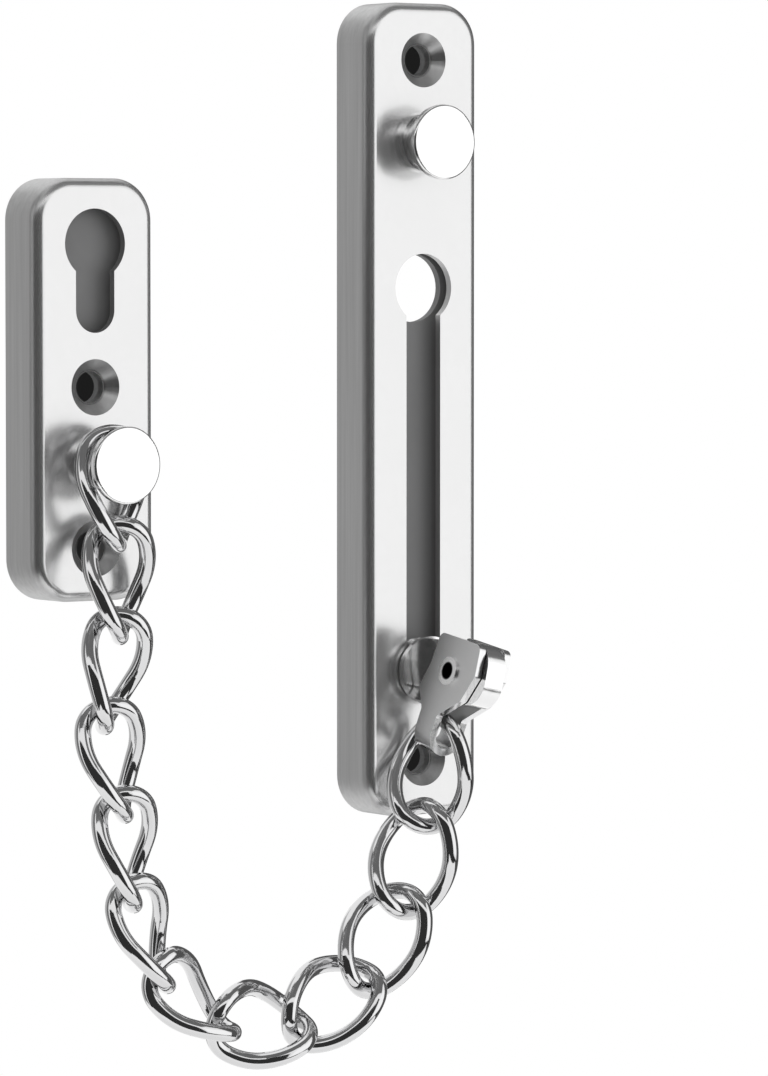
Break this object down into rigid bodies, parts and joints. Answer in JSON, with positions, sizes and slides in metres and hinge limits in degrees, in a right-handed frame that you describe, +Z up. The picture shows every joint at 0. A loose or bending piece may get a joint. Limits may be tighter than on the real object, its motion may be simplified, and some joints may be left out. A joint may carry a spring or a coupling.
{
  "type": "door chain",
  "caption": "Surface-mounted door chain: a slotted track plate and an anchor plate of pressed sheet, joined by a curb chain hung from a stud and from a sliding clip.",
  "frame": {"origin": "middle of the back of the track plate, on the wall plane", "axes": "+Z up along the track, -Y out of the wall towards the room, +X to the right seen from the room"},
  "size_m": [0.077, 0.026, 0.1541],
  "materials": {
    "plate_nickel": "satin nickel plate, brushed sides",
    "back_steel": "plain zinc-plated sheet",
    "stud_nickel": "polished nickel plate",
    "chain_nickel": "polished nickel plate",
    "clip_nickel": "matt nickel plate"
  },
  "bodies": {
    "plates": {"track_cover": "plate_nickel", "track_back_plate": "back_steel", "park_stud": "stud_nickel", "anchor_cover": "plate_nickel", "anchor_back_plate": "back_steel", "anchor_stud": "stud_nickel"},
    "slider": {"slider_stud": "stud_nickel"},
    "clip": {"slider_clip": "clip_nickel", "clip_pin": "clip_nickel"},
    "link_01": {"chain_link_01": "chain_nickel"},
    "link_02": {"chain_link_02": "chain_nickel"},
    "link_03": {"chain_link_03": "chain_nickel"},
    "link_04": {"chain_link_04": "chain_nickel"},
    "link_05": {"chain_link_05": "chain_nickel"},
    "link_06": {"chain_link_06": "chain_nickel"},
    "link_07": {"chain_link_07": "chain_nickel"},
    "link_08": {"chain_link_08": "chain_nickel"},
    "link_09": {"chain_link_09": "chain_nickel"},
    "link_10": {"chain_link_10": "chain_nickel"},
    "link_11": {"chain_link_11": "chain_nickel"},
    "link_12": {"chain_link_12": "chain_nickel"}
  },
  "joints": [
    {"name": "slider_slide", "type": "slide", "parent": "plates", "child": "slider", "axis": [0, 0, 1], "range_m": [0, 0.0565]},
    {"name": "clip_pivot", "type": "hinge", "parent": "slider", "child": "clip", "pos_m": [0, -0.0184, -0.0384], "axis": [0.9767, 0, -0.2147], "range_deg": [-5, 3]},
    {"name": "link_01_turn", "type": "hinge", "parent": "plates", "child": "link_01", "pos_m": [-0.057, -0.0126, -0.0066], "axis": [0, -1, 0], "range_deg": [-0.5, 22.56]},
    {"name": "link_02_turn", "type": "hinge", "parent": "link_01", "child": "link_02", "pos_m": [-0.05623, -0.0126, -0.01652], "axis": [0, -1, 0], "range_deg": [-0.5, 1.81]},
    {"name": "link_03_turn", "type": "hinge", "parent": "link_02", "child": "link_03", "pos_m": [-0.05604, -0.0126, -0.02942], "axis": [0, -1, 0], "range_deg": [-0.5, 3.91]},
    {"name": "link_04_turn", "type": "hinge", "parent": "link_03", "child": "link_04", "pos_m": [-0.05846, -0.0126, -0.04209], "axis": [0, -1, 0], "range_deg": [-0.5, 11.31]},
    {"name": "link_05_turn", "type": "hinge", "parent": "link_04", "child": "link_05", "pos_m": [-0.05586, -0.0126, -0.05473], "axis": [0, -1, 0], "range_deg": [-0.5, 15.61]},
    {"name": "link_06_turn", "type": "hinge", "parent": "link_05", "child": "link_06", "pos_m": [-0.05452, -0.0126, -0.06756], "axis": [0, -1, 0], "range_deg": [-0.5, 15.21]},
    {"name": "link_07_turn", "type": "hinge", "parent": "link_06", "child": "link_07", "pos_m": [-0.04961, -0.0126, -0.07949], "axis": [0, -1, 0], "range_deg": [-0.5, 1.01]},
    {"name": "link_12_turn", "type": "hinge", "parent": "slider", "child": "link_12", "pos_m": [-0.00147, -0.0126, -0.04508], "axis": [0, -1, 0], "range_deg": [-0.5, 9.6]},
    {"name": "link_11_turn", "type": "hinge", "parent": "link_12", "child": "link_11", "pos_m": [-0.0043, -0.0126, -0.05925], "axis": [0, -1, 0], "range_deg": [-0.5, 28.79]},
    {"name": "link_10_turn", "type": "hinge", "parent": "link_11", "child": "link_10", "pos_m": [-0.008, -0.0126, -0.07161], "axis": [0, -1, 0], "range_deg": [-0.5, 26.69]},
    {"name": "link_09_turn", "type": "hinge", "parent": "link_10", "child": "link_09", "pos_m": [-0.01504, -0.0126, -0.08242], "axis": [0, -1, 0], "range_deg": [-0.5, 1.29]},
    {"name": "link_08_turn", "type": "hinge", "parent": "link_09", "child": "link_08", "pos_m": [-0.02648, -0.0126, -0.08838], "axis": [0, -1, 0], "range_deg": [-1.21, 0.5]}
  ],
  "couplings": [
    {"joint": "link_01_turn", "follows": "slider_slide", "rad_per_m": 6.8145},
    {"joint": "link_02_turn", "follows": "slider_slide", "rad_per_m": 0.40529},
    {"joint": "link_03_turn", "follows": "slider_slide", "rad_per_m": 1.0543},
    {"joint": "link_04_turn", "follows": "slider_slide", "rad_per_m": 3.3399},
    {"joint": "link_05_turn", "follows": "slider_slide", "rad_per_m": 4.6685},
    {"joint": "link_06_turn", "follows": "slider_slide", "rad_per_m": 4.5447},
    {"joint": "link_07_turn", "follows": "slider_slide", "rad_per_m": 0.15847},
    {"joint": "link_12_turn", "follows": "slider_slide", "rad_per_m": 2.8101},
    {"joint": "link_11_turn", "follows": "slider_slide", "rad_per_m": 8.7384},
    {"joint": "link_10_turn", "follows": "slider_slide", "rad_per_m": 8.0894},
    {"joint": "link_09_turn", "follows": "slider_slide", "rad_per_m": 0.24342},
    {"joint": "link_08_turn", "follows": "slider_slide", "rad_per_m": -0.22025}
  ]
}
